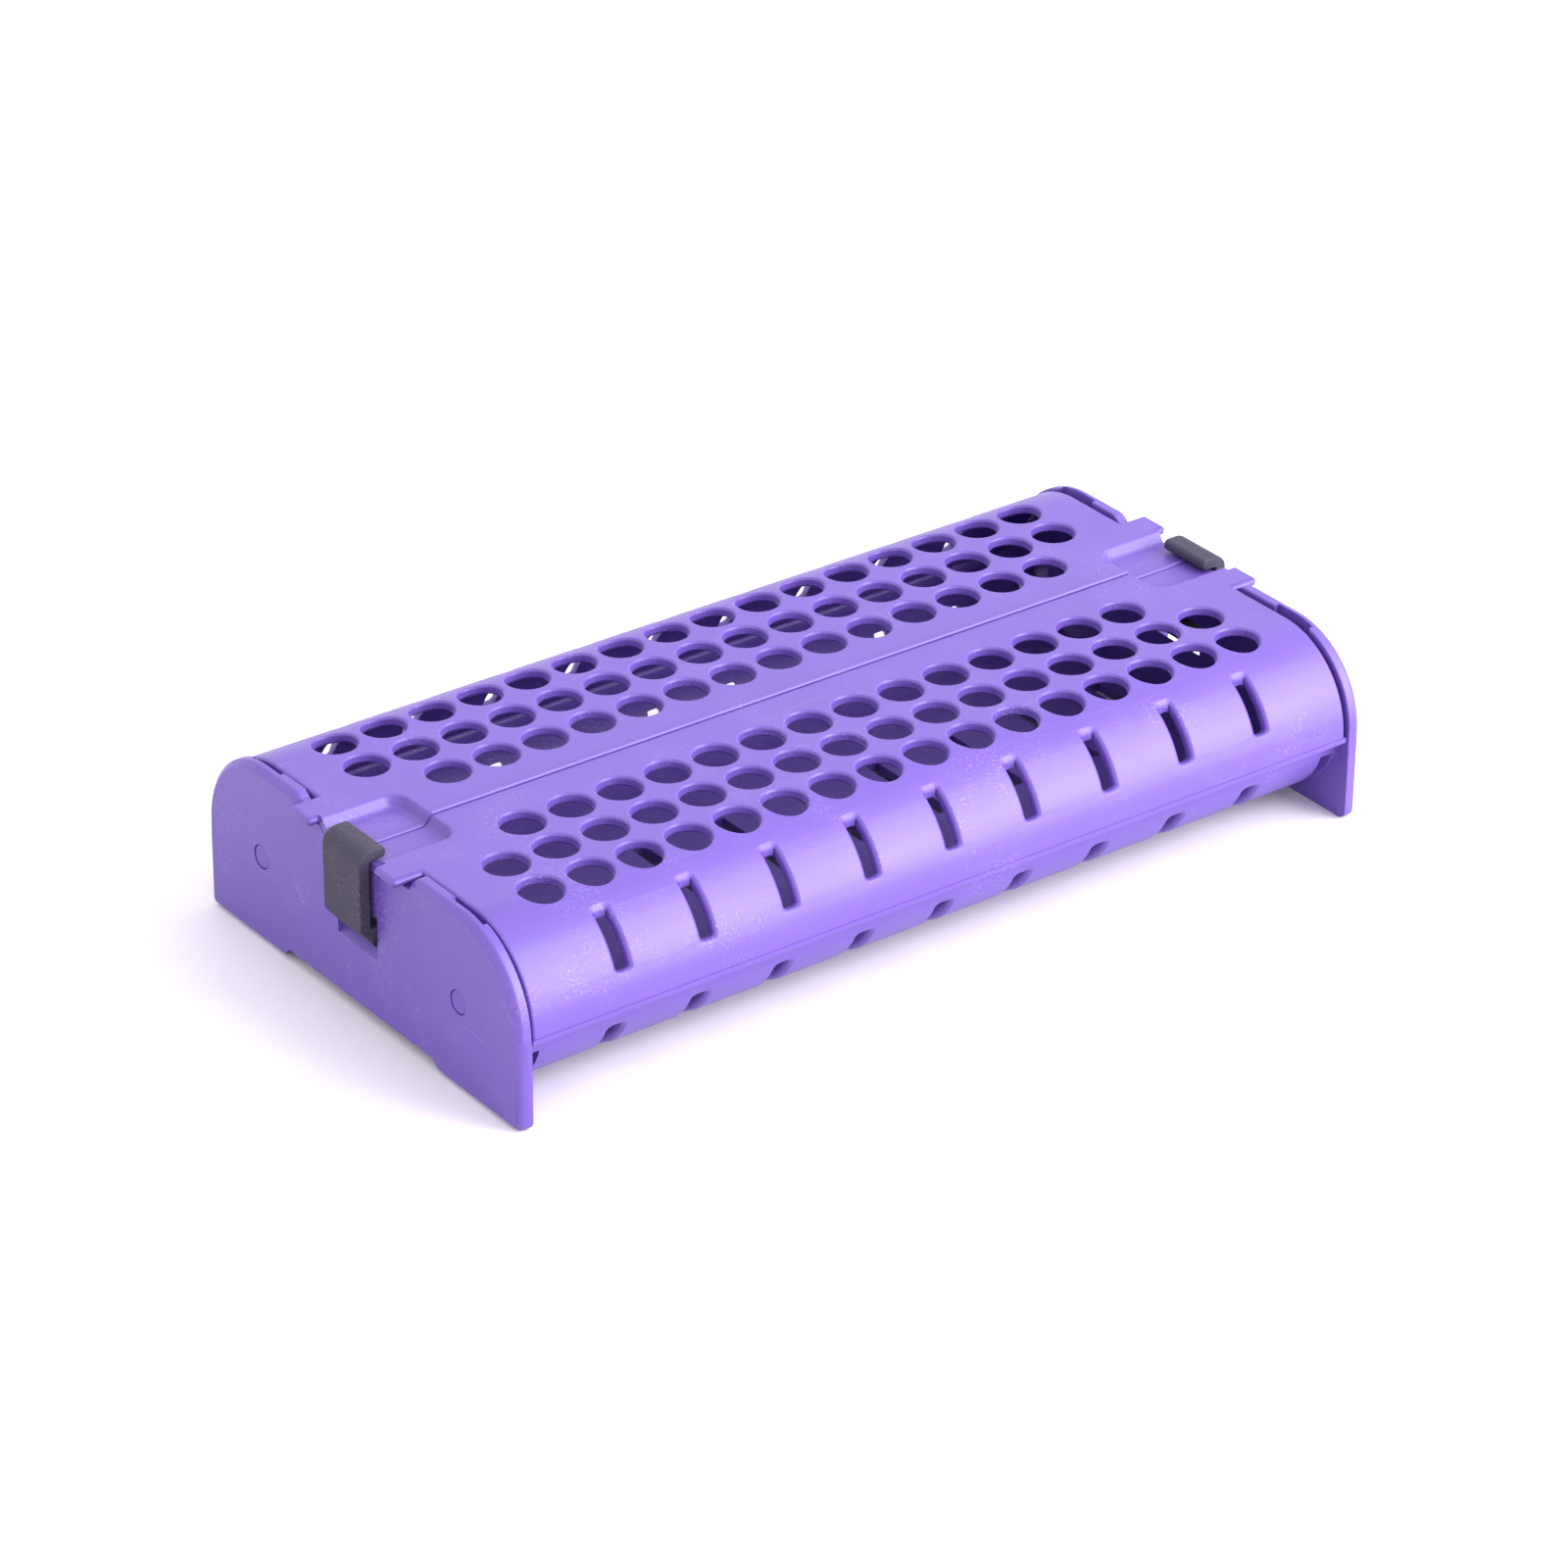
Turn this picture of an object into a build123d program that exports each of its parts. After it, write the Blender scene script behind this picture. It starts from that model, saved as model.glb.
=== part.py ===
import os
from math import acos, asin, atan2, cos, degrees, hypot, radians, sin, sqrt

from build123d import *
from build123d.topology import SkipClean

# Perforated instrument cassette: a one-piece moulded base whose two end plates carry a
# double trough, two half lids that roll round the troughs on hinge pins, and a hook latch
# that swings on a pin at each end. Millimetres, +Z up, length along X.
# The origin is the centre of the footprint, on the surface that the feet stand on.

# Base and end plates
length = 204.8  # over the outer faces of the end plates
plate_thick = 3.2
plate_corner = 2.0  # rounding of a plate's bottom corners
rim_bevel = 1.2  # bevel along a plate's outer rim
foot_rise = 2.8  # height of a plate's bottom edge between its feet
foot_inner = 24.5  # half the distance between the feet, at the raised edge
foot_outer = 28.0  # half the distance between the feet, on the ground
pivot_y = 33.6  # distance of each hinge axis from the centre line
rim_proud = 0.5  # how far a plate's rounded rim stands outside the lids
ground_gap = 0.15  # under the lower edge of a lid that rolls past the bottom

# Lids
lid_radius = 18.9  # outside of the curved wall, about the hinge axis
lid_thick = 1.95
lid_edge_angle = 4.5  # how far the curved wall reaches below the hinge axis
lid_bevel = 0.7  # bevel along the outer skin at each end of a lid
seam_gap = 0.3  # between the two lids
lid_end_gap = 0.5  # between a lid and an end plate
bead_height = 1.1  # raised line along a lid's lower edge
bead_proud = 0.15
arm_thick = 2.0  # hinge arm inside each end of a lid
arm_near = 12.6  # where the arm meets the flat top, from the hinge axis
arm_far = 20.0
hub_radius = 4.6
hub_thick = 3.0

# Perforation of the lids
hole_d = 8.6
hole_sides = 12  # the round holes are drawn with this many short sides
hole_pitch = 11.25
row_pitch = 11.11
row_first = 12.41  # distance of the row nearest the seam from the centre line
row_margin = 10.0  # least distance of a row's last hole from the lid's end
slot_pitch = 19.33
slot_width = 2.8
slot_low = 22.0  # angles above the horizontal, about the hinge axis
slot_high = 58.0  # at the outer skin; from there a slot's upper end runs upright

# Latch recess at each end of the lids, and the fingers that reach over the end plates
recess_depth = 2.1
recess_half = 10.1  # half width across the seam, at the top
recess_length = 17.1  # from the end plate's outer face inwards, at the top
recess_corner = 3.5
recess_slope = 45.0
finger_inner = 10.9  # sides of a finger, from the middle of the recess
finger_outer = 17.9
finger_proud = 2.7  # how far a finger reaches past the end plate
finger_bevel = 0.7
end_shift = 0.95  # how far recesses and fingers stand to the rear of the seam
bridge_proud = 0.1  # how far the recess's floor reaches past the end plate

# Troughs and the raised floor between them
trough_gap = 0.35  # between a lid's inside and the trough
trough_thick = 1.8
lip_angle = 8.0  # height of a trough's lip above the hinge axis
lip_bevel = 0.6
floor_angle = 120.0  # where the trough turns into the raised floor
floor_round = 2.0
drain_width = 3.0
drain_margin = 2.0  # least distance of a drain slot's middle from an end plate
drain_high = 18.0  # angles of a drain slot's ends below the horizontal
drain_low = 90.0
floor_slot_length = 24.0

# Notches in the top of an end plate, and the relief behind its rim
notch_gap = 0.3
notch_round = 1.8  # where a plate's rim turns down into its notch
relief_near = 29.0
relief_far = 39.3
relief_depth = 1.1
relief_height = 3.0

# Latches
latch_width = 12.5
latch_proud = 3.4  # outer face of the lever, past the end plate
latch_thick = 2.5
hook_thick = 2.4
hook_gap = 0.6  # between the hook and the recess's floor
hook_reach = 6.2
hook_round = 3.0
hook_tip_round = 1.0
latch_foot_end = 1.6  # horizontal reach of the foot's underside past the pivot
latch_rise = 0.9  # height of the latches' axes above the hinge axes
barrel_radius = 2.1
latch_inner_round = 0.6
latch_pin_d = 1.6
latch_pin_length = 19.6
pin_fit = 0.06  # radial clearance of a turning pin
pin_seat = 0.02  # radial clearance of a pin in its seat
pin_mouth = 1.4  # opening that a latch pin is pressed through
window_half = 6.8
window_below = 4.9  # from the latch's axis down to the window's outer edge
window_above = 4.4
ledge_rise = 2.6

# Hinge pins
hinge_pin_d = 5.1
hinge_pin_length = 6.8
hinge_pin_sunk = 0.4  # of a pin's outer end below the plate's outer face

# Worked out from the sizes above
plate_inner = length / 2 - plate_thick
plate_radius = lid_radius + rim_proud
pivot_z = lid_radius + bead_proud + ground_gap
plate_side = pivot_y + plate_radius
plate_top = pivot_z + plate_radius
lid_end = plate_inner - lid_end_gap
lid_top = pivot_z + lid_radius
lid_under = lid_top - lid_thick
lid_inner_radius = lid_radius - lid_thick
trough_radius = lid_inner_radius - trough_gap
trough_inner = trough_radius - trough_thick
floor_under = pivot_z - trough_radius * sin(radians(180 - floor_angle))
floor_top = floor_under + trough_thick
floor_join = -180 + degrees(asin((pivot_z - floor_top) / trough_inner))
recess_floor = lid_top - recess_depth
recess_under = recess_floor - lid_thick
recess_end = length / 2 - recess_length
recess_wall = lid_thick / cos(radians(recess_slope))
bridge_end = length / 2 + bridge_proud
finger_end = length / 2 + finger_proud
notch_high = lid_under - notch_gap
notch_low = recess_under - notch_gap
latch_pivot_x = length / 2 - plate_thick / 2
latch_pivot_z = pivot_z + latch_rise
latch_face = length / 2 + latch_proud
hook_under = recess_floor + hook_gap
latch_top = hook_under + hook_thick
window_low = latch_pivot_z - window_below
window_high = latch_pivot_z + window_above
slot_end_y = lid_radius * cos(radians(slot_high))  # of a slot's upright upper end, from the hinge axis
drain_count = 2 * int((plate_inner - drain_margin) / slot_pitch) + 1
long_row = 2 * int((lid_end - row_margin) / hole_pitch + 0.5)
row_counts = (long_row - 2, long_row, long_row)  # from the seam outwards


def polar(radius, angle):
    """A point in the YZ plane about the +Y hinge axis, its angle measured up from +Y."""
    return (pivot_y + radius * cos(radians(angle)), pivot_z + radius * sin(radians(angle)))


def arc(radius, start, end):
    """An arc about the +Y hinge axis, drawn in the YZ plane."""
    return CenterArc((pivot_y, pivot_z), radius, start, end - start)


def row(count, pitch):
    """Places along X of an evenly spaced row about the middle."""
    return [(i - (count - 1) / 2) * pitch for i in range(count)]


def bays(count, limit):
    """Middle, start and end along X of each bay, one for each slot of a row."""
    middles = row(count, slot_pitch)
    starts = [-limit] + [x - slot_pitch / 2 for x in middles[1:]]
    ends = [x + slot_pitch / 2 for x in middles[:-1]] + [limit]
    return zip(middles, starts, ends)


def tangent(point, side):
    """Where a line from a point touches the hub, on the given side."""
    away = hypot(point[0] - pivot_y, point[1] - pivot_z)
    angle = degrees(atan2(point[1] - pivot_z, point[0] - pivot_y))
    return polar(hub_radius, angle + side * degrees(acos(hub_radius / away)))


def wall_slot(outer, inner, low, high, inner_high, width):
    """Cutter for a slot across a curved wall of the +Y side, between two angles and two radii."""
    with BuildPart() as cutter:
        with BuildSketch(Plane.YZ.offset(-width / 2)):
            with BuildLine():
                arc(outer, low, high)
                Line(polar(outer, high), polar(inner, inner_high))
                arc(inner, inner_high, low)
                Line(polar(inner, low), polar(outer, low))
            make_face()
        extrude(amount=width)
    return cutter.part


slot_ends = [degrees(acos(slot_end_y / radius)) for radius in (lid_radius + 1, lid_inner_radius - 1)]
lid_slot = wall_slot(lid_radius + 1, lid_inner_radius - 1, slot_low, *slot_ends, slot_width)
drain_slot = wall_slot(trough_radius + 1, trough_inner - 1, -drain_low, -drain_high, -drain_high,
                       drain_width)
turned_drain = drain_slot.rotate(Axis.Z, 180)


def trough_bay(middle, start, end):
    """The double trough and its raised floor between two places along X, with a drain slot."""
    with BuildPart() as bay:
        with BuildSketch(Plane.YZ.offset(start)) as section:
            with BuildLine():
                arc(trough_radius, lip_angle, -floor_angle)
                Line(polar(trough_radius, -floor_angle), (0, floor_under))
                Line((0, floor_under), (0, floor_top))
                Line((0, floor_top), polar(trough_inner, floor_join))
                arc(trough_inner, floor_join, lip_angle)
                Line(polar(trough_inner, lip_angle), polar(trough_radius, lip_angle))
            make_face()
            chamfer(section.vertices().filter_by(lambda v: v.Y > pivot_z + 1), lip_bevel)
            bend = section.vertices().filter_by(lambda v: v.X > 1 and abs(v.Y - floor_top) < 0.01)
            fillet(bend, floor_round)
            mirror(about=Plane.YZ)
        extrude(amount=end - start)
        with Locations((middle, 0, 0)):
            add(drain_slot, mode=Mode.SUBTRACT)
            add(turned_drain, mode=Mode.SUBTRACT)
    return bay.part


def wall_bay(middle, start, end):
    """A lid's curved wall with its bead between two places along X, with a slot."""
    with BuildPart() as bay:
        with BuildSketch(Plane.YZ.offset(start)):
            with BuildLine():
                bead_angle = -lid_edge_angle + degrees(bead_height / lid_radius)
                bead_radius = lid_radius + bead_proud
                arc(lid_radius, 90, bead_angle)
                Line(polar(lid_radius, bead_angle), polar(bead_radius, bead_angle))
                arc(bead_radius, bead_angle, -lid_edge_angle)
                Line(polar(bead_radius, -lid_edge_angle), polar(lid_inner_radius, -lid_edge_angle))
                arc(lid_inner_radius, -lid_edge_angle, 90)
                Line((pivot_y, lid_under), (pivot_y, lid_top))
            make_face()
        extrude(amount=end - start)
        rims = bay.edges().filter_by(
            lambda e: abs(abs(e.center().X) - lid_end) < 0.01
            and e.geom_type == GeomType.CIRCLE
            and abs(e.radius - lid_radius) < 0.01
        )
        if rims:
            chamfer(rims, lid_bevel)
        with Locations((middle, 0, 0)):
            add(lid_slot, mode=Mode.SUBTRACT)
    return bay.part


def plate_half(shift):
    """Outline of an end plate's half on the lid's side, its notch cleared for a finger's sweep."""
    finger_sweep = (pivot_y - finger_outer - shift + lid_under + finger_bevel - pivot_z) / sqrt(2)
    notch_radius = finger_sweep - notch_gap
    rim_y = pivot_y - sqrt(notch_radius**2 - (plate_top - pivot_z) ** 2)
    high_y = pivot_y - sqrt(notch_radius**2 - (notch_high - pivot_z) ** 2)
    step_y = recess_half + shift + recess_wall + notch_gap - lid_thick
    low_y = step_y - (notch_high - notch_low)
    with BuildSketch() as half:
        with BuildLine():
            Polyline((0, foot_rise), (foot_inner, foot_rise), (foot_outer, 0),
                     (plate_side, 0), (plate_side, pivot_z))
            arc(plate_radius, 0, 90)
            Line((pivot_y, plate_top), (rim_y, plate_top))
            rim_angle = degrees(atan2(plate_top - pivot_z, rim_y - pivot_y))
            high_angle = degrees(atan2(notch_high - pivot_z, high_y - pivot_y))
            arc(notch_radius, rim_angle, high_angle)
            Polyline((high_y, notch_high), (step_y, notch_high), (low_y, notch_low),
                     (0, notch_low), (0, foot_rise))
        make_face()
        heel = half.vertices().filter_by(lambda v: v.X > foot_outer + 1 and v.Y < 0.01)
        fillet(heel, plate_corner)
        brow = half.vertices().filter_by(lambda v: v.X < pivot_y - 1 and v.Y > plate_top - 0.01)
        fillet(brow, notch_round)
    return half.sketch


rear_half = plate_half(end_shift)
front_half = plate_half(-end_shift).mirror(Plane.YZ)

# Base: one moulding of end plates, troughs and raised floor
with BuildPart() as base:
    # End plates, with feet at the corners and notches at the top for the lids' fingers
    for end in (-1, 1):
        with BuildSketch(Plane.YZ.offset(end * (plate_inner + plate_thick / 2))):
            add(rear_half)
            add(front_half)
        extrude(amount=plate_thick / 2, both=True)
    rims = base.edges().filter_by(
        lambda e: abs(abs(e.center().X) - length / 2) < 0.01
        and e.geom_type == GeomType.CIRCLE
        and abs(e.radius - plate_radius) < 0.01
    )
    chamfer(rims, rim_bevel)

    # Relief in the inner side of each plate's rim
    for end in (-1, 1):
        for side in (-1, 1):
            with Locations((end * (plate_inner + relief_depth / 2), side * (relief_near + relief_far) / 2,
                            plate_top - relief_height)):
                Box(relief_depth, relief_far - relief_near, 2 * relief_height,
                    align=(Align.CENTER, Align.CENTER, Align.MIN), mode=Mode.SUBTRACT)

    # Holes for the hinge pins, through both plates
    with BuildSketch(Plane.YZ):
        with Locations((-pivot_y, pivot_z), (pivot_y, pivot_z)):
            Circle(hinge_pin_d / 2 + pin_seat)
    extrude(amount=length / 2 + 1, both=True, mode=Mode.SUBTRACT)

    # Window for each latch's foot, its bottom a sloping ledge
    for end in (-1, 1):
        with BuildSketch(Plane.XZ):
            with BuildLine():
                outside = end * (length / 2 + 1)
                inside = end * (plate_inner - 1)
                Polyline((outside, window_high), (outside, window_low), (end * length / 2, window_low),
                         (end * plate_inner, window_low + ledge_rise),
                         (inside, window_low + ledge_rise), (inside, window_high), close=True)
            make_face()
        extrude(amount=window_half, both=True, mode=Mode.SUBTRACT)

        # Seat of the latch pin, open towards the inside so that the pin snaps in
        with BuildSketch(Plane.XZ):
            with Locations((end * latch_pivot_x, latch_pivot_z)):
                Circle(latch_pin_d / 2 + pin_seat)
            with Locations((end * (plate_inner - 1 + latch_pivot_x) / 2, latch_pivot_z)):
                Rectangle(latch_pivot_x - plate_inner + 1, pin_mouth)
        extrude(amount=latch_pin_length / 2 + 0.1, both=True, mode=Mode.SUBTRACT)

    # Troughs and floor, one bay for each drain slot. The joins stay, which keeps each face short.
    with SkipClean():
        for bay in bays(drain_count, plate_inner):
            add(trough_bay(*bay), clean=False)
        with BuildSketch(Plane.XY.offset(floor_top + 1)):
            with Locations(*[(x, 0) for x in row(drain_count - 1, slot_pitch)]):
                Rectangle(drain_width, floor_slot_length)
        extrude(amount=-trough_thick - 2, clean=False, mode=Mode.SUBTRACT)

# Lids: flat half top, curved wall, latch recesses, fingers and hinge arms
def recess_block(half, inner_end, corner, depth):
    """Block of the +X recess, its three sides sloping inwards on the way down."""
    with BuildPart() as block:
        with BuildSketch(Plane.XY.offset(lid_top)) as top:
            with Locations((inner_end, 0)):
                Rectangle(bridge_end - inner_end + 2 * depth, 2 * half, align=(Align.MIN, Align.CENTER))
            fillet(top.vertices().group_by(Axis.X)[0], corner)
        extrude(amount=-depth, taper=recess_slope)
    return block.part


recess_void = recess_block(recess_half, recess_end, recess_corner, recess_depth)
recess_body = recess_block(recess_half + recess_wall, recess_end - recess_wall,
                           recess_corner + recess_wall, recess_depth + lid_thick)

with BuildPart() as finger:
    with Locations((finger_end, (finger_inner + finger_outer) / 2, lid_top)):
        Box(finger_end - lid_end + 2, finger_outer - finger_inner, lid_thick,
            align=(Align.MAX, Align.CENTER, Align.MAX))
    root = finger.faces().sort_by(Axis.X)[0]
    chamfer(finger.edges().filter_by(lambda e: e.center().X > root.center().X + 0.01), finger_bevel)


def half_lid(shift):
    """A half lid of the +Y side, its recesses and fingers moved along Y by a shift."""
    with BuildPart() as lid:
        with Locations((0, seam_gap / 2, lid_top)):
            Box(2 * lid_end, pivot_y - seam_gap / 2, lid_thick, align=(Align.CENTER, Align.MIN, Align.MAX))

        # Recesses that dip through the end plates, trimmed at the seam, then the fingers
        aside = Location((0, shift, 0))
        add(recess_body.moved(aside))
        add(recess_body.mirror(Plane.YZ).moved(aside))
        for end in (-1, 1):
            with Locations((end * (bridge_end + length / 2), 0, lid_top)):
                Box(length, 2 * plate_side, 2 * lid_radius, mode=Mode.SUBTRACT)
        with Locations((0, seam_gap / 2, lid_top)):
            Box(2 * length, 2 * plate_side, 2 * lid_radius, align=(Align.CENTER, Align.MAX, Align.CENTER),
                mode=Mode.SUBTRACT)
        add(recess_void.moved(aside), mode=Mode.SUBTRACT)
        add(recess_void.mirror(Plane.YZ).moved(aside), mode=Mode.SUBTRACT)
        add(finger.part.moved(aside))
        add(finger.part.mirror(Plane.YZ).moved(aside))
        rims = lid.edges().filter_by(
            lambda e: abs(abs(e.center().X) - lid_end) < 0.01
            and e.center().Y > finger_outer + shift
            and abs(e.center().Z - lid_top) < 0.01
        )
        chamfer(rims, lid_bevel)

        # Hinge arms and hubs
        for end in (-1, 1):
            with BuildSketch(Plane.YZ.offset(end * (lid_end - arm_thick / 2))):
                with BuildLine():
                    near = (pivot_y - arm_near, lid_under + lid_thick / 2)
                    far = (pivot_y - arm_far, lid_under + lid_thick / 2)
                    Polyline(near, tangent(near, -1), (pivot_y, pivot_z), tangent(far, 1), far, close=True)
                make_face()
            extrude(amount=arm_thick / 2, both=True)
            with BuildSketch(Plane.YZ.offset(end * (lid_end - hub_thick / 2))):
                with Locations((pivot_y, pivot_z)):
                    Circle(hub_radius)
            extrude(amount=hub_thick / 2, both=True)
        with BuildSketch(Plane.YZ):
            with Locations((pivot_y, pivot_z)):
                Circle(hinge_pin_d / 2 + pin_fit)
        extrude(amount=length / 2, both=True, mode=Mode.SUBTRACT)

        # Curved wall, one bay for each slot, and the round holes of the flat top
        with SkipClean():
            for bay in bays(drain_count - 2, lid_end):
                add(wall_bay(*bay), clean=False)
            with BuildSketch(Plane.XY.offset(lid_top + 1)):
                for i, count in enumerate(row_counts):
                    with Locations((0, row_first + i * row_pitch)):
                        with GridLocations(hole_pitch, hole_pitch, count, 1):
                            RegularPolygon(hole_d / 2, hole_sides)
            extrude(amount=-lid_thick - 2, clean=False, mode=Mode.SUBTRACT)
    return lid.part


with BuildPart() as rear_lid:
    add(half_lid(end_shift), clean=False)

# Front lid: as the rear one, turned end for end
turned_lid = half_lid(-end_shift).rotate(Axis.Z, 180)
with BuildPart() as front_lid:
    add(turned_lid, clean=False)

# Right latch: lever outside the plate, hook over the lids, foot turned in to its barrel
with BuildPart() as right_latch:
    with BuildSketch(Plane.XZ) as lever:
        with BuildLine():
            foot_top = latch_pivot_z + barrel_radius
            foot_under = latch_pivot_z - barrel_radius
            hook_tip = latch_face - hook_reach
            Polyline((latch_pivot_x, foot_under), (latch_pivot_x + latch_foot_end, foot_under),
                     (latch_face, foot_top), (latch_face, latch_top), (hook_tip, latch_top),
                     (hook_tip, hook_under), (latch_face - latch_thick, hook_under),
                     (latch_face - latch_thick, foot_top), (latch_pivot_x, foot_top))
            CenterArc((latch_pivot_x, latch_pivot_z), barrel_radius, 90, 180)
        make_face()
        top = lever.vertices().group_by(Axis.Y)[-1]
        fillet(top.sort_by(Axis.X)[-1], hook_round)
        fillet(lever.vertices().filter_by(lambda v: v.X < hook_tip + 0.01 and v.Y > hook_under - 0.1),
               hook_tip_round)
        fillet(lever.vertices().filter_by(
            lambda v: abs(v.X - latch_face) < 0.01 and abs(v.Y - foot_top) < 0.01), hook_tip_round)
        fillet(lever.vertices().filter_by(lambda v: abs(v.X - latch_face + latch_thick) < 0.01),
               latch_inner_round)
    extrude(amount=latch_width / 2, both=True)
    with BuildSketch(Plane.XZ):
        with Locations((latch_pivot_x, latch_pivot_z)):
            Circle(latch_pin_d / 2 + pin_fit)
    extrude(amount=latch_width, both=True, mode=Mode.SUBTRACT)

# Left latch: the mirror image, which is the same piece turned round
mirrored_latch = right_latch.part.mirror(Plane.YZ)
with BuildPart() as left_latch:
    add(mirrored_latch)

os.makedirs("parts", exist_ok=True)

base.part.label = "base"
export_step(base.part, "parts/base.step")
rear_lid.part.label = "rear_lid"
export_step(rear_lid.part, "parts/rear_lid.step")
front_lid.part.label = "front_lid"
export_step(front_lid.part, "parts/front_lid.step")
right_latch.part.label = "right_latch"
export_step(right_latch.part, "parts/right_latch.step")
left_latch.part.label = "left_latch"
export_step(left_latch.part, "parts/left_latch.step")

# Pins: two for each lid, flush with the end plates, and one for each latch
for end, end_name in ((-1, "left"), (1, "right")):
    for side, side_name in ((-1, "front"), (1, "rear")):
        with BuildPart() as hinge_pin:
            with Locations((end * (length / 2 - hinge_pin_sunk - hinge_pin_length / 2),
                            side * pivot_y, pivot_z)):
                Cylinder(hinge_pin_d / 2, hinge_pin_length, rotation=(0, 90, 0))
        hinge_pin.part.label = f"{side_name}_{end_name}_hinge_pin"
        export_step(hinge_pin.part, f"parts/{side_name}_{end_name}_hinge_pin.step")

    with BuildPart() as latch_pin:
        with Locations((end * latch_pivot_x, 0, latch_pivot_z)):
            Cylinder(latch_pin_d / 2, latch_pin_length, rotation=(90, 0, 0))
    latch_pin.part.label = f"{end_name}_latch_pin"
    export_step(latch_pin.part, f"parts/{end_name}_latch_pin.step")
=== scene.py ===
import math

import bpy
from mathutils import Matrix, Vector


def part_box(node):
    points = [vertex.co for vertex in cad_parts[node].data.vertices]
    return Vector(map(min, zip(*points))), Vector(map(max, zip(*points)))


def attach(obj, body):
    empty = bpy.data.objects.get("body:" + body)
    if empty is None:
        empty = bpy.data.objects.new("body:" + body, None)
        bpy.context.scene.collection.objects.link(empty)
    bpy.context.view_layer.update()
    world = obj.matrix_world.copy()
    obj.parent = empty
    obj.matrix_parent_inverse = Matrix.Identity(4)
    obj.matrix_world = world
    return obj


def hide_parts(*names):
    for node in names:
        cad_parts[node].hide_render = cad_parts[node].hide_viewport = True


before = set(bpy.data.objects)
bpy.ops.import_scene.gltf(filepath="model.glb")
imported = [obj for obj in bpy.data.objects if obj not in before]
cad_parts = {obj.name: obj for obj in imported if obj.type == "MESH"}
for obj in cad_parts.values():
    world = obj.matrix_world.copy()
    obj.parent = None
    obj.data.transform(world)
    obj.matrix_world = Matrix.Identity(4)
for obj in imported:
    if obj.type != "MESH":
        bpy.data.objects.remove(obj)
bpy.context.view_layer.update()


# Base. One injection moulding of autoclavable violet plastic: two end plates, two troughs
# with a row of drain slots in each, and the floor between them. Its satin faces have a fine
# moulded grain, tiny pale specks and a few light scratches from handling.
def moulded_surface():
    """Shader group for moulded plastic: a colour that varies, its roughness and its fine relief."""
    cloud_depth, cloud_lowest = 0.14, 0.93
    cloud_roughness, mark_roughness = 0.16, 0.2
    scratch_depth = 0.6
    group = bpy.data.node_groups.new("moulded_surface", "ShaderNodeTree")
    for name, kind, value in (("Colour", "NodeSocketColor", (0.5, 0.5, 0.5, 1)),
                              ("Pale", "NodeSocketColor", (0.8, 0.8, 0.8, 1)),
                              ("Specks", "NodeSocketFloat", 0.5),
                              ("Scratches", "NodeSocketFloat", 0.5),
                              ("Roughness", "NodeSocketFloat", 0.4)):
        socket = group.interface.new_socket(name, in_out="INPUT", socket_type=kind)
        socket.default_value = value
    group.interface.new_socket("Colour", in_out="OUTPUT", socket_type="NodeSocketColor")
    group.interface.new_socket("Roughness", in_out="OUTPUT", socket_type="NodeSocketFloat")
    group.interface.new_socket("Height", in_out="OUTPUT", socket_type="NodeSocketFloat")
    nodes, links = group.nodes, group.links
    given = nodes.new("NodeGroupInput")
    made = nodes.new("NodeGroupOutput")
    place = nodes.new("ShaderNodeTexCoord")

    def noise(scale, detail, roughness=0.5, stretch=None, turn=(0, 0, 0)):
        """Noise in the object's own space, stretched and turned where it makes streaks."""
        texture = nodes.new("ShaderNodeTexNoise")
        texture.inputs["Scale"].default_value = scale
        texture.inputs["Detail"].default_value = detail
        texture.inputs["Roughness"].default_value = roughness
        source = place.outputs["Object"]
        if stretch:
            mapping = nodes.new("ShaderNodeMapping")
            mapping.inputs["Scale"].default_value = stretch
            mapping.inputs["Rotation"].default_value = turn
            links.new(source, mapping.inputs["Vector"])
            source = mapping.outputs["Vector"]
        links.new(source, texture.inputs["Vector"])
        return texture.outputs["Fac"]

    def ramp(source, low, high):
        """A soft step from 0 to 1 between two values of the source."""
        spread = nodes.new("ShaderNodeMapRange")
        spread.interpolation_type = "SMOOTHSTEP"
        spread.inputs["From Min"].default_value = low
        spread.inputs["From Max"].default_value = high
        links.new(source, spread.inputs["Value"])
        return spread.outputs["Result"]

    def sums(kind, first, second):
        """One step of arithmetic on sockets and plain numbers."""
        node = nodes.new("ShaderNodeMath")
        node.operation = kind
        for socket, value in zip(node.inputs, (first, second)):
            if isinstance(value, float):
                socket.default_value = value
            else:
                links.new(value, socket)
        return node.outputs[0]

    cloudy = noise(scale=38, detail=3)
    grain = noise(scale=2600, detail=2, roughness=0.6)
    frost = ramp(noise(scale=2700, detail=1), 0.56, 0.72)
    frosted_places = ramp(noise(scale=55, detail=3, roughness=0.6), 0.48, 0.68)
    fine_specks = ramp(noise(scale=1900, detail=1), 0.76, 0.82)
    specks = sums("MAXIMUM", fine_specks, sums("MULTIPLY", frost, frosted_places))
    streaks_a = noise(scale=60, detail=2, roughness=0.4, stretch=(1, 34, 34), turn=(0.1, 0.2, 0.5))
    streaks_b = noise(scale=50, detail=2, roughness=0.4, stretch=(30, 1, 30), turn=(0.2, 0.1, -0.3))
    scratches = sums("MAXIMUM", ramp(streaks_a, 0.71, 0.76), ramp(streaks_b, 0.72, 0.77))
    marks = sums("MAXIMUM", sums("MULTIPLY", specks, given.outputs["Specks"]),
                 sums("MULTIPLY", scratches, given.outputs["Scratches"]))

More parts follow.
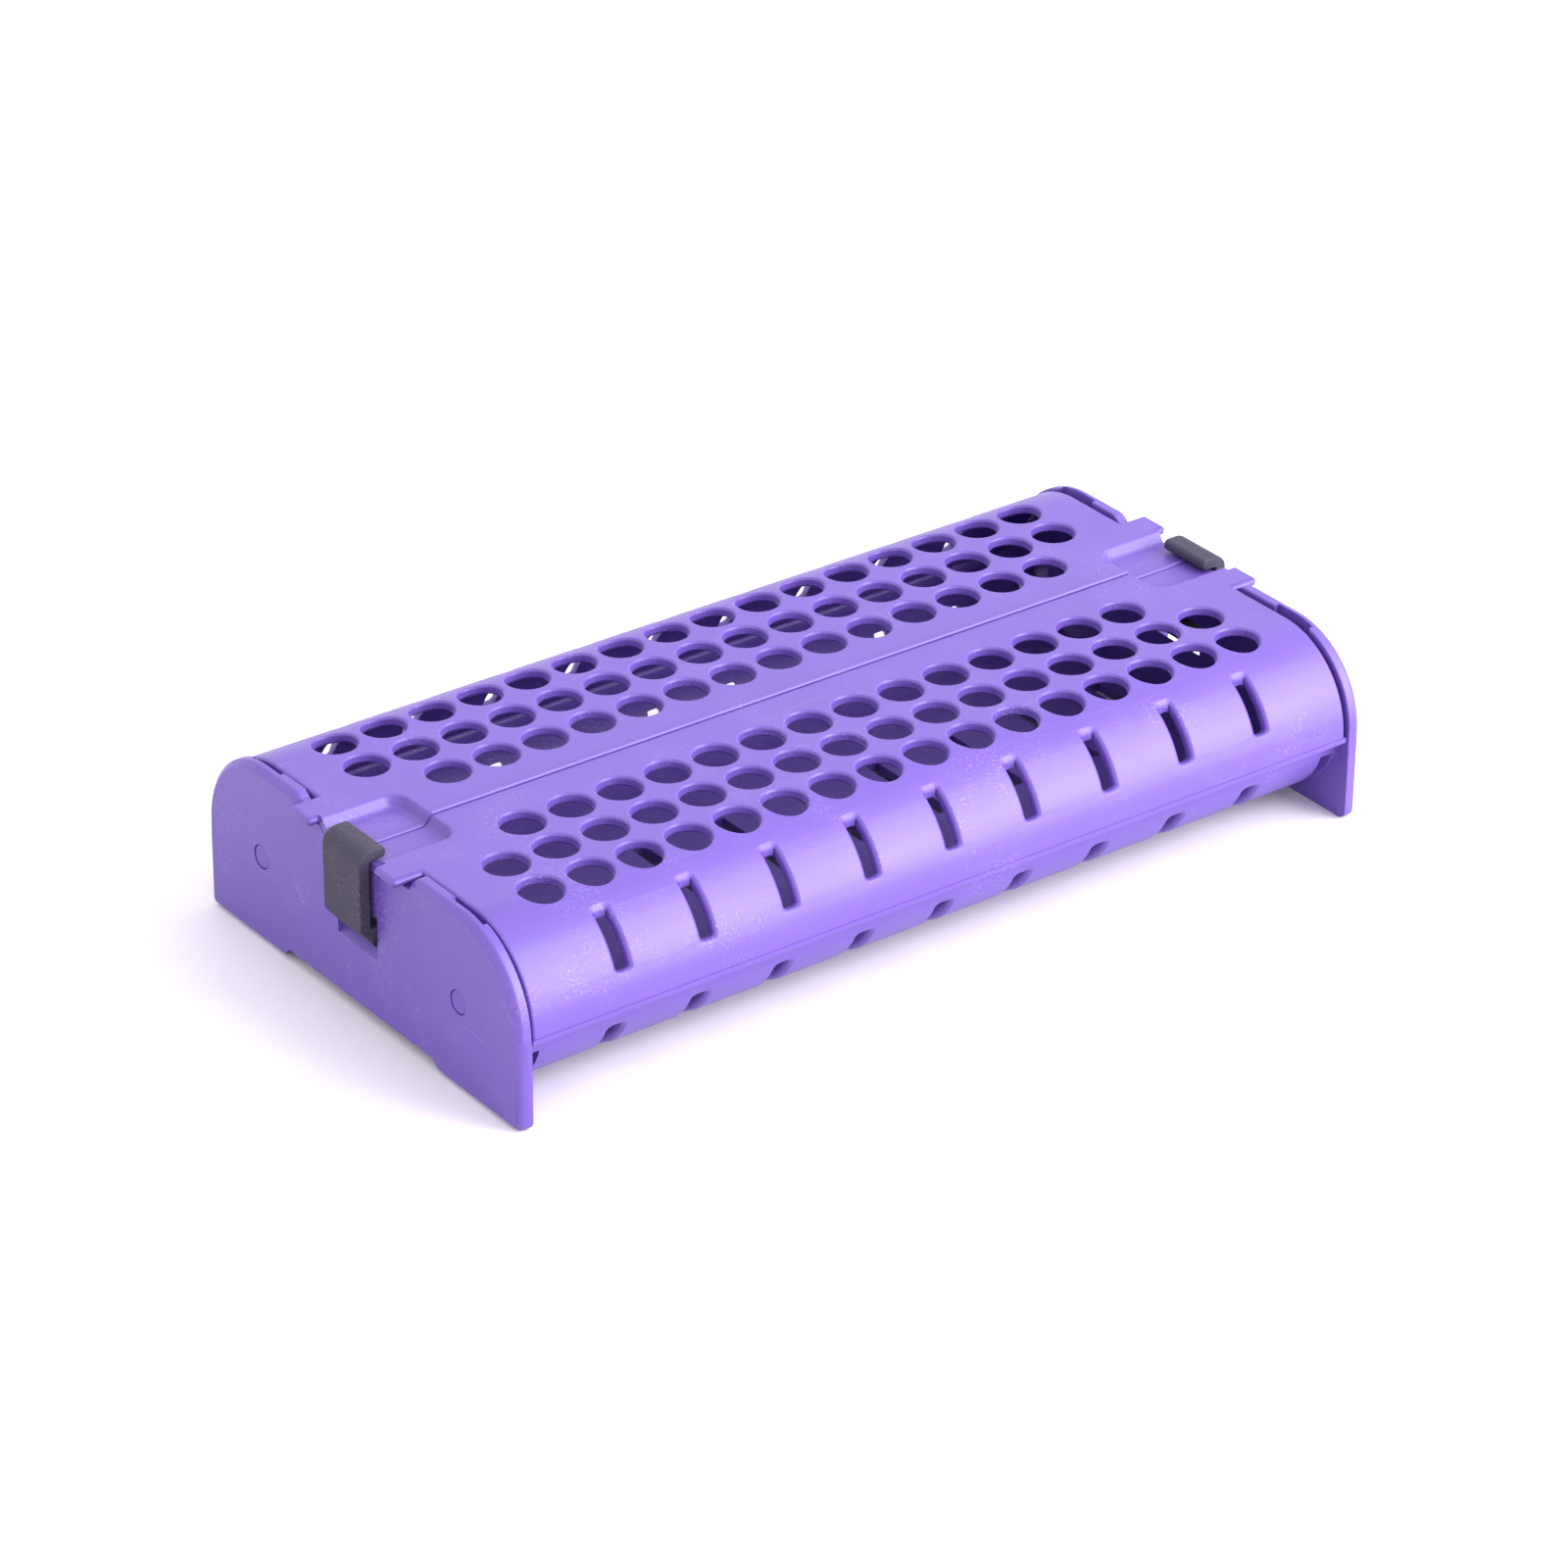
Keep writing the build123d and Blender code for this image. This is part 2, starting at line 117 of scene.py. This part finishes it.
    shade = nodes.new("ShaderNodeHueSaturation")
    value = sums("ADD", sums("MULTIPLY", cloudy, cloud_depth), cloud_lowest)
    links.new(value, shade.inputs["Value"])
    links.new(given.outputs["Colour"], shade.inputs["Color"])
    mix = nodes.new("ShaderNodeMix")
    mix.data_type = "RGBA"
    links.new(marks, mix.inputs["Factor"])
    links.new(shade.outputs["Color"], mix.inputs["A"])
    links.new(given.outputs["Pale"], mix.inputs["B"])
    links.new(mix.outputs["Result"], made.inputs["Colour"])
    uneven = sums("MULTIPLY", sums("SUBTRACT", cloudy, 0.5), cloud_roughness)
    rough = sums("ADD", given.outputs["Roughness"], uneven)
    rough = sums("ADD", rough, sums("MULTIPLY", marks, mark_roughness))
    links.new(rough, made.inputs["Roughness"])
    height = sums("SUBTRACT", grain, sums("MULTIPLY", scratches, scratch_depth))
    links.new(height, made.inputs["Height"])
    return group


def moulded_plastic(name, colour, pale, specks, scratches, roughness, relief, ior=1.52):
    """A plastic with its own colours, in the shared moulded surface."""
    grain_height = 0.00004
    material = bpy.data.materials.new(name)
    material.use_nodes = True
    nodes, links = material.node_tree.nodes, material.node_tree.links
    shader = nodes["Principled BSDF"]
    shader.inputs["IOR"].default_value = ior
    surface = nodes.new("ShaderNodeGroup")
    surface.node_tree = moulded_skin
    for socket, value in (("Colour", colour), ("Pale", pale), ("Specks", specks),
                          ("Scratches", scratches), ("Roughness", roughness)):
        surface.inputs[socket].default_value = value
    bump = nodes.new("ShaderNodeBump")
    bump.inputs["Strength"].default_value = relief
    bump.inputs["Distance"].default_value = grain_height
    links.new(surface.outputs["Colour"], shader.inputs["Base Color"])
    links.new(surface.outputs["Roughness"], shader.inputs["Roughness"])
    links.new(surface.outputs["Height"], bump.inputs["Height"])
    links.new(bump.outputs["Normal"], shader.inputs["Normal"])
    return material


pivot_y, pivot_z = 0.0336, 0.0192
plate_outer, plate_inner = 0.1024, 0.0992
rim_radius, rim_band, rim_share = 0.0194, 0.0014, 0.35
notch_half = 0.0195
trough_radius, trough_thick = 0.0166, 0.0018
drain_width, drain_corner, drain_rim = 0.0032, 0.0010, 0.0013
drain_high, drain_low = math.radians(-24), math.radians(-62.5)
slot_pitch = 0.01933
slot_places = [i * slot_pitch for i in range(-4, 5)]
# The node's drains run on past both ends of the real ones, and plugs of wall close them there.
plug_spans = (math.radians(9), math.radians(33))
plug_middles = (drain_high + math.radians(4.2), drain_low - math.radians(16.2))
plug_overlap, plug_inset = 0.0012, 0.00004
cutter_depth, cutter_above = 0.003, 0.001
lift = 0.00002  # a cutter's rounding starts this far above the skin, so that no faces coincide
near = 0.0001  # an edge this near to a place lies on it
weld = 0.000002  # corners nearer than this become one
flat_angle, sharp_angle, smooth_angle = (math.radians(angle) for angle in (0.5, 32, 50))
rim_turns = [math.radians(18 * step) for step in range(1, 6)]


def use(*pieces):
    """Selects these pieces alone, the first one active."""
    bpy.ops.object.select_all(action="DESELECT")
    for piece in pieces:
        piece.select_set(True)
    bpy.context.view_layer.objects.active = pieces[0]


def edit_edges():
    """Goes to edit mode to work on edges, with nothing selected."""
    bpy.ops.object.mode_set(mode="EDIT")
    bpy.ops.mesh.select_mode(type="EDGE")
    bpy.ops.mesh.select_all(action="DESELECT")


def close_outwards():
    """Turns every face outwards and leaves edit mode."""
    bpy.ops.mesh.select_all(action="SELECT")
    bpy.ops.mesh.normals_make_consistent(inside=False)
    bpy.ops.object.mode_set(mode="OBJECT")


def copied(piece):
    """A copy of a piece, with its own mesh."""
    copy = piece.copy()
    copy.data = piece.data.copy()
    bpy.context.scene.collection.objects.link(copy)
    return copy


def copy_of_node(node, name):
    """A new piece with a node's shape, its loose triangles joined into one closed skin."""
    piece = bpy.data.objects.new(name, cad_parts[node].data.copy())
    bpy.context.scene.collection.objects.link(piece)
    use(piece)
    bpy.ops.mesh.customdata_custom_splitnormals_clear()
    bpy.ops.object.mode_set(mode="EDIT")
    bpy.ops.mesh.select_all(action="SELECT")
    bpy.ops.mesh.remove_doubles(threshold=weld)
    bpy.ops.mesh.dissolve_limited(angle_limit=flat_angle)
    bpy.ops.object.mode_set(mode="OBJECT")
    return piece


def edge_middle(piece, edge):
    """The middle of an edge."""
    first, second = (piece.data.vertices[i].co for i in edge.vertices)
    return (first + second) / 2


def soften_edges(piece, widest, steps, share):
    """Rounds the sharp edges; share gives each edge's part of the widest rounding, by its place."""
    use(piece)
    edit_edges()
    bpy.ops.mesh.edges_select_sharp(sharpness=sharp_angle)
    bpy.ops.object.mode_set(mode="OBJECT")
    weights = piece.data.attributes.new("bevel_weight_edge", "FLOAT", "EDGE")
    for edge in piece.data.edges:
        if edge.select:
            weights.data[edge.index].value = share(edge_middle(piece, edge))
    bevel = piece.modifiers.new("bevel", "BEVEL")
    bevel.limit_method = "WEIGHT"
    bevel.width = widest
    bevel.segments = steps
    bevel.use_clamp_overlap = False
    bevel.miter_outer = "MITER_SHARP"
    bpy.ops.object.modifier_apply(modifier="bevel")
    if "bevel_weight_edge" in piece.data.attributes:
        piece.data.attributes.remove(piece.data.attributes["bevel_weight_edge"])


def pull(height, *shrink):
    """Extrudes the selected outline up or down and then scales it."""
    bpy.ops.mesh.extrude_region_move(TRANSFORM_OT_translate={"value": (0, 0, height)})
    if shrink:
        bpy.ops.transform.resize(value=(*shrink, 1))


def pull_through(profile):
    """Extrudes the selected outline through a list of heights, widths and lengths."""
    for (height, width, length), (new_height, new_width, new_length) in zip(profile, profile[1:]):
        pull(new_height - height, new_width / width, new_length / length)


def combine(piece, other, operation):
    """Adds another solid to the piece or cuts it out, and removes that solid."""
    use(piece)
    boolean = piece.modifiers.new("boolean", "BOOLEAN")
    boolean.operation = operation
    boolean.object = other
    boolean.solver = "EXACT"
    bpy.ops.object.modifier_apply(modifier="boolean")
    bpy.data.objects.remove(other)


def join_and_combine(piece, tools, operation):
    """Joins the tools to one solid and adds it to the piece or cuts it out."""
    use(*tools)
    bpy.ops.object.join()
    tool = bpy.context.active_object
    bpy.ops.object.mode_set(mode="EDIT")
    close_outwards()
    combine(piece, tool, operation)


def smooth_skin(piece):
    """Smooth shading that keeps the large faces flat."""
    use(piece)
    bpy.ops.object.shade_smooth_by_angle(angle=smooth_angle)
    weighted = piece.modifiers.new("weighted", "WEIGHTED_NORMAL")
    weighted.keep_sharp = True
    weighted.weight = 70
    bpy.ops.object.modifier_apply(modifier="weighted")


def coat(piece, material):
    """Gives a piece one material all over."""
    piece.data.materials.clear()
    piece.data.materials.append(material)


def slot_cutter(width, length, corner, rim):
    """Cutter of a slot at the origin, long side along Y, its outer rim rounded, surface at 0."""
    bpy.ops.object.select_all(action="DESELECT")
    bpy.ops.mesh.primitive_plane_add(size=1, location=(0, 0, -cutter_depth))
    cutter = bpy.context.active_object
    cutter.scale = (width, length, 1)
    bpy.ops.object.transform_apply(location=True, scale=True)
    bpy.ops.object.mode_set(mode="EDIT")
    bpy.ops.mesh.select_all(action="SELECT")
    bpy.ops.mesh.bevel(offset=corner, segments=4, affect="VERTICES")
    edit_edges()
    bpy.ops.object.mode_set(mode="OBJECT")
    for edge in cutter.data.edges:
        first, second = (cutter.data.vertices[i].co for i in edge.vertices)
        edge.select = abs(first.y - second.y) > length / 2
    bpy.ops.object.mode_set(mode="EDIT")
    bpy.ops.mesh.subdivide(number_cuts=7)
    bpy.ops.mesh.select_mode(type="VERT")
    bpy.ops.mesh.select_all(action="SELECT")
    profile = [(-cutter_depth, width, length), (-rim, width, length)]
    for turn in rim_turns:
        height, spread = -rim + rim * math.sin(turn) + lift, rim * (1 - math.cos(turn))
        profile.append((height, width + 2 * spread, length + 2 * spread))
    profile.append((cutter_above, width + 2 * rim, length + 2 * rim))
    pull_through(profile)
    close_outwards()
    return cutter


def wall_plug(span):
    """A flat piece of trough wall at the origin that closes an end of a drain slot."""
    bpy.ops.object.select_all(action="DESELECT")
    bpy.ops.mesh.primitive_grid_add(x_subdivisions=1, y_subdivisions=8, size=1,
                                    location=(0, 0, -plug_inset))
    plug = bpy.context.active_object
    plug.scale = (drain_width + plug_overlap, trough_radius * span, 1)
    bpy.ops.object.transform_apply(location=True, scale=True)
    bpy.ops.object.mode_set(mode="EDIT")
    bpy.ops.mesh.select_all(action="SELECT")
    pull(2 * plug_inset - trough_thick)
    close_outwards()
    return plug


def wrapped(flat, x, radius, angle, lean=0):
    """A copy of a flat piece, bent round the rear hinge axis; its upper end may lean down."""
    copy = copied(flat)
    upper_end = 0.8 * max(corner.co.y for corner in copy.data.vertices)
    for corner in copy.data.vertices:
        if corner.co.y > upper_end and corner.co.z < 0:
            corner.co.y += lean * corner.co.z
        turn = angle + corner.co.y / radius
        away = radius + corner.co.z
        corner.co = (x + corner.co.x, pivot_y + away * math.cos(turn),
                     pivot_z + away * math.sin(turn))
    return copy


def from_hinge(point, side):
    """Distance of a point from a hinge axis; side is 1 for the rear axis and -1 for the front."""
    return (point.yz - Vector((side * pivot_y, pivot_z))).length


def base_edge(middle):
    """Part of the widest rounding for an edge of the base: only the end plates' rims get any."""
    far = abs(middle.x)
    on_plate_face = abs(far - plate_inner) < near or far > plate_outer - rim_band
    on_rim = min(from_hinge(middle, side) for side in (-1, 1)) > rim_radius - rim_band
    beside_notch = middle.z > pivot_z and abs(middle.y) > notch_half
    return rim_share if on_plate_face and on_rim and beside_notch else 0


moulded_skin = moulded_surface()
violet_plastic = moulded_plastic("violet_moulded_plastic", colour=(0.108, 0.056, 0.322, 1),
                                 pale=(0.40, 0.33, 0.62, 1), specks=0.4, scratches=0.10,
                                 roughness=0.42, relief=0.35)
base = copy_of_node("base", "base_moulding")
soften_edges(base, widest=0.001, steps=3, share=base_edge)
drain_length = trough_radius * (drain_high - drain_low)
flat_drain = slot_cutter(drain_width, drain_length, drain_corner, drain_rim)
flat_plugs = [wall_plug(span) for span in plug_spans]
drains, plugs = [], []
for place in slot_places:
    drains.append(wrapped(flat_drain, place, trough_radius, (drain_high + drain_low) / 2))
    for flat_plug, angle in zip(flat_plugs, plug_middles):
        plugs.append(wrapped(flat_plug, place, trough_radius, angle))
for row in (drains, plugs):
    for rear_piece in list(row):
        front_piece = copied(rear_piece)
        front_piece.data.transform(Matrix.Rotation(math.pi, 4, "Z"))
        row.append(front_piece)
for flat in (flat_drain, *flat_plugs):
    bpy.data.objects.remove(flat)
join_and_combine(base, plugs, "UNION")
join_and_combine(base, drains, "DIFFERENCE")
smooth_skin(base)
coat(base, violet_plastic)
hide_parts("base")
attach(base, "base")

# Lids. Each half is one moulding of the same violet plastic, with rows of holes, slots round
# its curved wall and a recess for each latch, all with soft rims. The rear one has a fine
# round lip along the seam. They turn on the hinge pins.
wall_radius, wall_thick = 0.0189, 0.00195
lid_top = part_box("rear_lid")[1].z
lid_end = 0.0987
hole_radius, hole_rim = 0.00432, 0.0007
ledge_width, ledge_fall, ledge_depths = 0.00009, 0.00003, (0.0010, 0.0014)
flare_profile = ((0, 0.0003), (0.0001, 0.00008), (0.0003, -lift), (0.0003, -cutter_above))
hole_counts, hole_pitch, row_pitch, row_first = (14, 16, 16), 0.01125, 0.01111, 0.01241
slot_width, slot_corner, slot_rim, slot_lean = 0.00300, 0.0009, 0.00105, 0.66
slot_low, slot_high = math.radians(20.6), math.radians(59.4)
recess_end, recess_half, recess_depth, recess_corner = 0.08465, 0.01075, 0.00211, 0.00415
recess_shift, recess_outer = 0.00095, 0.115
brow, foot, recess_slope = 0.00095, 0.00145, math.radians(55)
lip_radius, lip_sunk, lip_proud, lip_share = 0.00055, 0.0001, 0.00005, 0.998
lip_band, lip_lowest, dip_start, dip_slope = 0.0009, 0.0025, 0.084, 0.7
seam_band, seam_flatness, seam_share, end_share = 0.0003, 0.000005, 0.8, 0.7


def hole_cutter():
    """Cutter of a round hole at the origin, the lid's top at height 0.

    Its rim is rounded, two small ledges run round its wall and its lower rim is flared.
    """
    throat = hole_radius + 2 * ledge_width
    bpy.ops.object.select_all(action="DESELECT")
    bpy.ops.mesh.primitive_circle_add(vertices=40, radius=throat + hole_rim, fill_type="NGON",
                                      location=(0, 0, cutter_above))
    cutter = bpy.context.active_object
    bpy.ops.object.transform_apply(location=True)
    bpy.ops.object.mode_set(mode="EDIT")
    bpy.ops.mesh.select_all(action="SELECT")
    profile = [(throat + hole_rim, cutter_above), (throat + hole_rim, lift)]
    for turn in rim_turns:
        profile.append((throat + hole_rim * (1 - math.sin(turn)),
                        lift - hole_rim * (1 - math.cos(turn))))
    for step, depth in zip((1, 0), ledge_depths):
        profile.append((hole_radius + (step + 1) * ledge_width, -depth))
        profile.append((hole_radius + step * ledge_width, -depth - ledge_fall))
    for flare, height in flare_profile:
        profile.append((hole_radius + flare, -wall_thick + height))
    pull_through([(height, radius, radius) for radius, height in profile])
    close_outwards()
    return cutter


def lid_surface(y):
    """Height of the lid's outer skin at a distance from the seam."""
    if y <= pivot_y:
        return lid_top
    return pivot_z + math.sqrt(wall_radius ** 2 - (y - pivot_y) ** 2)


def placed_hole(round_cutter, x, y):
    """A copy of the hole's cutter at its place on the lid, where it follows the skin."""
    cutter = copied(round_cutter)
    for corner in cutter.data.vertices:
        corner_y = corner.co.y + y
        corner.co = (corner.co.x + x, corner_y, corner.co.z + lid_surface(corner_y))
    return cutter


def recess_cutter(shift):
    """Cutter of the +X latch recess, whose floor and rim run softly into its sloping sides."""
    bpy.ops.object.select_all(action="DESELECT")
    reach = recess_outer - recess_end
    bpy.ops.mesh.primitive_plane_add(
        size=1, location=(recess_end + reach / 2, shift, lid_top + cutter_above))
    cutter = bpy.context.active_object
    cutter.scale = (reach, 2 * recess_half, 1)
    bpy.ops.object.transform_apply(location=True, scale=True)
    bpy.ops.object.mode_set(mode="EDIT")
    bpy.ops.mesh.select_all(action="SELECT")
    bpy.ops.mesh.bevel(offset=recess_corner, segments=10, affect="VERTICES")
    bpy.ops.mesh.select_all(action="SELECT")
    pull(lift - cutter_above)
    depth = lift + recess_depth
    turns = [recess_slope * step / 5 for step in range(6)]
    straight = (depth - (brow + foot) * (1 - math.cos(recess_slope))) / math.sin(recess_slope)
    width = (brow + foot) * math.sin(recess_slope) + straight * math.cos(recess_slope)
    profile = [(brow * math.sin(turn), brow * (1 - math.cos(turn))) for turn in turns]
    profile += [(width - foot * math.sin(turn), depth - foot * (1 - math.cos(turn)))
                for turn in reversed(turns)]
    for (inward, down), (next_inward, next_down) in zip(profile, profile[1:]):
        bpy.ops.mesh.inset(thickness=next_inward - inward, depth=0, use_even_offset=True)
        bpy.ops.transform.translate(value=(0, 0, down - next_down))
    bpy.ops.object.mode_set(mode="OBJECT")
    return cutter


def carries_lip(middle):
    """Whether an edge of the seam's face is an upper one; at the recesses these dip down."""
    dip = dip_slope * max(0, abs(middle.x) - dip_start)
    return middle.z > max(lid_top - lip_lowest, lid_top - lip_band - dip)


def seam_lip(lid):
    """Adds the small round lip that the rear lid has along the upper edge of its seam."""
    use(lid)
    edit_edges()
    bpy.ops.object.mode_set(mode="OBJECT")
    corners = lid.data.vertices
    seam = min(corner.co.y for corner in corners)
    for edge in lid.data.edges:
        furthest = max(corners[i].co.y for i in edge.vertices)
        edge.select = furthest < seam + seam_flatness and carries_lip(edge_middle(lid, edge))
    bpy.ops.object.mode_set(mode="EDIT")
    bpy.ops.mesh.duplicate()
    bpy.ops.mesh.separate(type="SELECTED")
    bpy.ops.object.mode_set(mode="OBJECT")
    use(next(piece for piece in bpy.context.selected_objects if piece != lid))
    bpy.ops.object.convert(target="CURVE")
    wire = bpy.context.active_object.data
    wire.dimensions = "3D"
    wire.bevel_depth = lip_radius
    wire.bevel_resolution = 4
    wire.use_fill_caps = True
    bpy.ops.object.convert(target="MESH")
    lip = bpy.context.active_object
    place = Matrix.Translation((0, lip_radius - lip_proud, -lip_sunk))
    lip.data.transform(place @ Matrix.Scale(lip_share, 4, (1, 0, 0)))
    bpy.ops.object.mode_set(mode="EDIT")
    bpy.ops.mesh.select_all(action="SELECT")
    bpy.ops.mesh.remove_doubles(threshold=weld)
    close_outwards()
    combine(lid, lip, "UNION")


def lid_edge(middle, seam_part):
    """Part of the widest rounding for an edge of a lid: the seam's upper edge and the ends."""
    at_top = middle.z > lid_top - near
    if at_top and middle.y < seam_band:
        return seam_part
    on_end = abs(abs(middle.x) - lid_end) < near
    on_skin = at_top or abs(from_hinge(middle, 1) - wall_radius) < 2 * near
    beside_recess = middle.z > pivot_z and middle.y > notch_half
    return end_share if on_end and on_skin and beside_recess else 0


round_cutter = hole_cutter()
slot_length, slot_middle = wall_radius * (slot_high - slot_low), (slot_low + slot_high) / 2
flat_slot = slot_cutter(slot_width, slot_length, slot_corner, slot_rim)
for node, shift, turn, seam_part in (("rear_lid", recess_shift, 0, 0),
                                     ("front_lid", -recess_shift, math.pi, seam_share)):
    lid = copy_of_node(node, node + "_moulding")
    lid.data.transform(Matrix.Rotation(turn, 4, "Z"))
    soften_edges(lid, widest=0.0005, steps=3, share=lambda middle: lid_edge(middle, seam_part))
    recess = recess_cutter(shift)
    other_recess = copied(recess)
    other_recess.data.transform(Matrix.Scale(-1, 4, (1, 0, 0)))
    cutters = [recess, other_recess]
    for row, count in enumerate(hole_counts):
        for i in range(count):
            cutters.append(placed_hole(round_cutter, (i - (count - 1) / 2) * hole_pitch,
                                       row_first + row * row_pitch))
    for place in slot_places:
        cutters.append(wrapped(flat_slot, place, wall_radius, slot_middle, slot_lean))
    join_and_combine(lid, cutters, "DIFFERENCE")
    if node == "rear_lid":
        seam_lip(lid)
    smooth_skin(lid)
    lid.data.transform(Matrix.Rotation(-turn, 4, "Z"))
    coat(lid, violet_plastic)
    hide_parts(node)
    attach(lid, node)
bpy.data.objects.remove(round_cutter)
bpy.data.objects.remove(flat_slot)

# Latches. Each is one moulding of dark grey plastic with a few light scratches, and swings
# on a steel pin that is pressed into the end plate.
latch_pivot_z, bore_band = 0.0201, 0.001


def latch_edge(middle):
    """Part of the widest rounding for an edge of a latch: none round the pin's bore."""
    return 0 if abs(middle.z - latch_pivot_z) < bore_band else 1


grey_plastic = moulded_plastic("grey_moulded_plastic", colour=(0.044, 0.038, 0.064, 1),
                               pale=(0.20, 0.18, 0.24, 1), specks=0.4, scratches=0.15,
                               roughness=0.60, relief=0.4, ior=1.28)
for side in ("right", "left"):
    latch = copy_of_node(f"{side}_latch", f"{side}_latch_moulding")
    soften_edges(latch, widest=0.0004, steps=3, share=latch_edge)
    smooth_skin(latch)
    coat(latch, grey_plastic)
    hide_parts(f"{side}_latch")
    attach(latch, f"{side}_latch")

# Hinge pins. Four plugs of the same violet plastic, pressed into the end plates from outside;
# their ends lie nearly flush, with a rounded edge that leaves a fine ring round each one.
# The latches' steel cross pins are hidden.
pin_end = plate_outer - 0.0001


def pin_edge(middle):
    """Part of the widest rounding for an edge of a hinge pin: only its outer end gets any."""
    return 1 if abs(middle.x) > pin_end - near else 0


def finish_node(name, material):
    """Gives a CAD node a better material in its own slots."""
    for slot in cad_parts[name].material_slots:
        slot.material = material


pin_plastic = moulded_plastic("pin_plastic", colour=(0.095, 0.043, 0.305, 1),
                              pale=(0.38, 0.31, 0.60, 1), specks=0.4, scratches=0.1,
                              roughness=0.38, relief=0.3)
pin_steel = moulded_plastic("pin_steel", colour=(0.6, 0.6, 0.6, 1), pale=(0.9, 0.9, 0.9, 1),
                            specks=0.1, scratches=0.3, roughness=0.25, relief=0.1)
for side in ("front", "rear"):
    for end in ("left", "right"):
        pin = copy_of_node(f"{side}_{end}_hinge_pin", f"{side}_{end}_hinge_plug")
        sunk_end = max(abs(corner.co.x) for corner in pin.data.vertices)
        for corner in pin.data.vertices:
            if abs(corner.co.x) > sunk_end - near:
                corner.co.x = math.copysign(pin_end, corner.co.x)
        soften_edges(pin, widest=0.0005, steps=4, share=pin_edge)
        smooth_skin(pin)
        coat(pin, pin_plastic)
        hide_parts(f"{side}_{end}_hinge_pin")
        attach(pin, "base")
for end in ("left", "right"):
    finish_node(f"{end}_latch_pin", pin_steel)

# Studio. A pale paper floor in an evenly lit tent, a large soft light from the front right
# and a low one from the front, and the camera where the photograph was taken from.
paper_colour, paper_roughness = (0.76, 0.722, 0.76, 1), 0.8
tent_colour, tent_strength = (0.97, 0.96, 1.0, 1), 1.62


def soft_light(name, place, aim, size, power):
    """A square area light that looks at a point."""
    bpy.ops.object.light_add(type="AREA", location=place)
    light = bpy.context.active_object
    light.name = name
    light.data.size = size
    light.data.energy = power
    light.rotation_euler = (Vector(aim) - Vector(place)).to_track_quat("-Z", "Y").to_euler()


bpy.ops.object.select_all(action="DESELECT")
bpy.ops.mesh.primitive_plane_add(size=6, location=(0, 0, 0))
floor = bpy.context.active_object
floor.name = "studio_floor"
paper = bpy.data.materials.new("pale_paper")
paper.use_nodes = True
paper_shader = paper.node_tree.nodes["Principled BSDF"]
paper_shader.inputs["Base Color"].default_value = paper_colour
paper_shader.inputs["Roughness"].default_value = paper_roughness
floor.data.materials.append(paper)

soft_light("key_light", place=(0.72, -0.82, 0.81), aim=(0, 0, 0.02), size=1.0, power=21)
soft_light("low_light", place=(0.55, -1.02, 0.14), aim=(0, 0, 0.01), size=0.9, power=17)
tent = bpy.data.worlds.new("studio")
tent.use_nodes = True
tent.node_tree.nodes["Background"].inputs["Color"].default_value = tent_colour
tent.node_tree.nodes["Background"].inputs["Strength"].default_value = tent_strength
bpy.context.scene.world = tent
bpy.context.scene.view_settings.view_transform = "Standard"

azimuth, elevation, roll = (math.radians(angle) for angle in (-37.06, 28.91, 0.47))
camera_target, camera_distance = Vector((-0.02394, -0.02887, 0.03758)), 1.1474
back = Vector((math.sin(azimuth) * math.cos(elevation), -math.cos(azimuth) * math.cos(elevation),
               math.sin(elevation)))
level = Vector((math.cos(azimuth), math.sin(azimuth), 0))
upright = back.cross(level)
right = math.cos(roll) * level + math.sin(roll) * upright
up = math.cos(roll) * upright - math.sin(roll) * level
bpy.ops.object.camera_add()
camera = bpy.context.active_object
camera.name = "photo_camera"
camera.data.lens = 138.47
camera.data.sensor_width = 36
camera.data.clip_end = 20
camera_turn = Matrix((right, up, back)).transposed().to_4x4()
camera.matrix_world = Matrix.Translation(camera_target + camera_distance * back) @ camera_turn
bpy.context.scene.camera = camera
